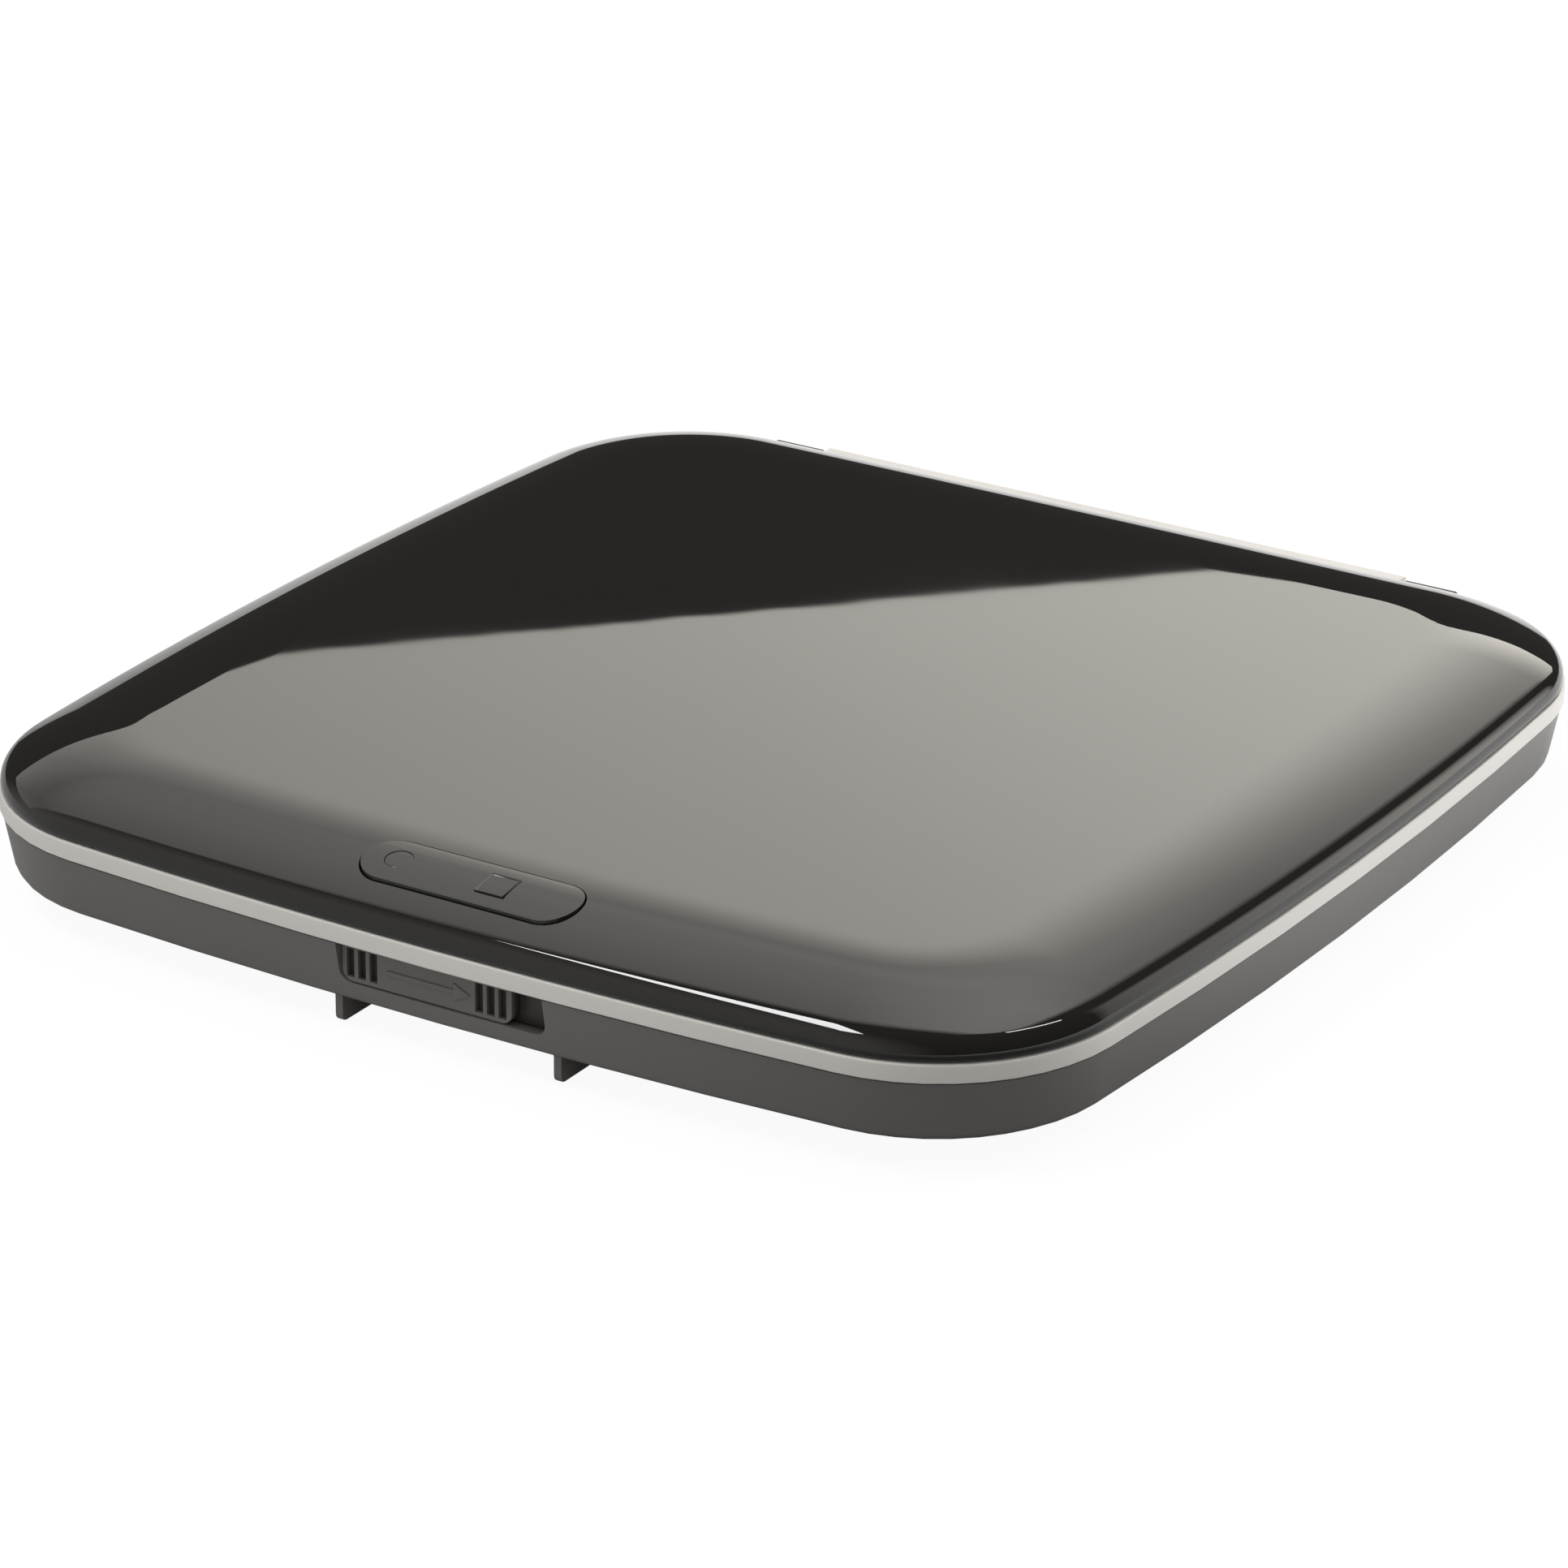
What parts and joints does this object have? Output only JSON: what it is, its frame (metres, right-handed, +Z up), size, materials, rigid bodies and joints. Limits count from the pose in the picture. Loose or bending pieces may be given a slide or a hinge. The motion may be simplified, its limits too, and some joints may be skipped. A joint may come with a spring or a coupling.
{
  "type": "external disc drive",
  "caption": "Thin square top-loading external disc drive with a hinged domed gloss lid, silver waist band, opening slide, stop button, disc hub and optical sled.",
  "frame": {"origin": "centre of the outline on the surface that the feet stand on", "axes": "+X to the right seen from the front, +Y to the rear hinge, +Z up"},
  "size_m": [0.14, 0.1438, 0.0185],
  "materials": {
    "base_plastic": "satin moulded",
    "rubber": "matte",
    "steel": "bright",
    "silver_paint": "satin silver paint",
    "deck_plastic": "fine matte",
    "slide_plastic": "satin",
    "board_green": "solder mask",
    "chip_black": "moulded",
    "connector_ivory": "moulded",
    "plated_shell": "plated",
    "led_clear": "clear",
    "ribbon_film": "film",
    "sheet_steel": "rolled",
    "cast_alloy": "as cast",
    "lens_glass": "coated",
    "gloss_black": "high gloss",
    "smoke_window": "smoked"
  },
  "bodies": {
    "case": {"base_shell": "base_plastic", "rubber_feet": "rubber", "case_screws": "steel", "trim_frame": "silver_paint", "disc_deck": "deck_plastic", "hinge_pins": "steel", "slider_spring": "steel", "main_board": "board_green", "board_chips": "chip_black", "ribbon_connector": "connector_ivory", "usb_socket": "plated_shell", "usb_tongue": "chip_black", "switch_board": "board_green", "stop_switch": "chip_black", "lid_switch": "chip_black", "status_led": "led_clear", "pickup_ribbon": "ribbon_film", "traverse_plate": "sheet_steel", "rubber_dampers": "rubber", "damper_screws": "steel", "guide_rods": "steel", "spindle_motor": "sheet_steel", "sled_motor": "plated_shell"},
    "slide": {"open_slider": "slide_plastic"},
    "stop_plunger": {"stop_switch_plunger": "connector_ivory"},
    "lid_pin": {"lid_switch_pin": "connector_ivory"},
    "spindle": {"turntable": "deck_plastic", "turntable_pad": "rubber"},
    "lug_1": {"chuck_lug_1": "connector_ivory"},
    "lug_2": {"chuck_lug_2": "connector_ivory"},
    "lug_3": {"chuck_lug_3": "connector_ivory"},
    "screw": {"lead_screw": "steel"},
    "sled": {"pickup_sled": "cast_alloy", "sled_nut": "connector_ivory"},
    "lens": {"lens_holder": "deck_plastic", "objective_lens": "lens_glass"},
    "lid": {"lid_shell": "gloss_black", "lid_liner": "deck_plastic", "panel_screws": "steel", "hinge_arms": "deck_plastic", "latch_hook": "deck_plastic", "lid_switch_peg": "deck_plastic"},
    "button": {"stop_button": "gloss_black", "led_window": "smoke_window"}
  },
  "joints": [
    {"name": "lid_hinge", "type": "hinge", "parent": "case", "child": "lid", "pos_m": [0, 0.07, 0.01405], "axis": [-1, 0, 0], "range_deg": [0, 70]},
    {"name": "stop_press", "type": "slide", "parent": "lid", "child": "button", "axis": [0, 0, -1], "range_m": [0, 0.0005], "stiffness_N_per_m": 600},
    {"name": "stop_plunger_slide", "type": "slide", "parent": "case", "child": "stop_plunger", "axis": [0, 0, -1], "range_m": [0, 0.0006]},
    {"name": "open_slide", "type": "slide", "parent": "case", "child": "slide", "axis": [1, 0, 0], "range_m": [0, 0.004], "stiffness_N_per_m": 250, "deforming": ["slider_spring"]},
    {"name": "lid_pin_press", "type": "slide", "parent": "case", "child": "lid_pin", "axis": [0, 0, -1], "range_m": [0, 0.0006], "stiffness_N_per_m": 300},
    {"name": "spindle_spin", "type": "hinge", "parent": "case", "child": "spindle", "pos_m": [0, -0.0015, 0.01], "axis": [0, 0, 1], "continuous": true},
    {"name": "lug_1_slide", "type": "slide", "parent": "spindle", "child": "lug_1", "axis": [0, 1, 0], "range_m": [-0.0005, 0], "stiffness_N_per_m": 300},
    {"name": "lug_2_slide", "type": "slide", "parent": "spindle", "child": "lug_2", "axis": [-0.866, -0.5, 0], "range_m": [-0.0005, 0], "stiffness_N_per_m": 300},
    {"name": "lug_3_slide", "type": "slide", "parent": "spindle", "child": "lug_3", "axis": [0.866, -0.5, 0], "range_m": [-0.0005, 0], "stiffness_N_per_m": 300},
    {"name": "sled_slide", "type": "slide", "parent": "case", "child": "sled", "axis": [1, 0, 0], "range_m": [0, 0.034], "deforming": ["pickup_ribbon"]},
    {"name": "lead_screw_spin", "type": "hinge", "parent": "case", "child": "screw", "pos_m": [0, 0.0275, 0.0067], "axis": [1, 0, 0], "range_deg": [-10, 4100]},
    {"name": "lens_focus", "type": "slide", "parent": "sled", "child": "lens", "axis": [0, 0, 1], "range_m": [-0.0004, 0.0004], "stiffness_N_per_m": 100}
  ],
  "couplings": [
    {"joint": "lead_screw_spin", "follows": "sled_slide", "rad_per_m": 2094.4},
    {"joint": "stop_plunger_slide", "follows": "stop_press", "ratio": 1}
  ]
}
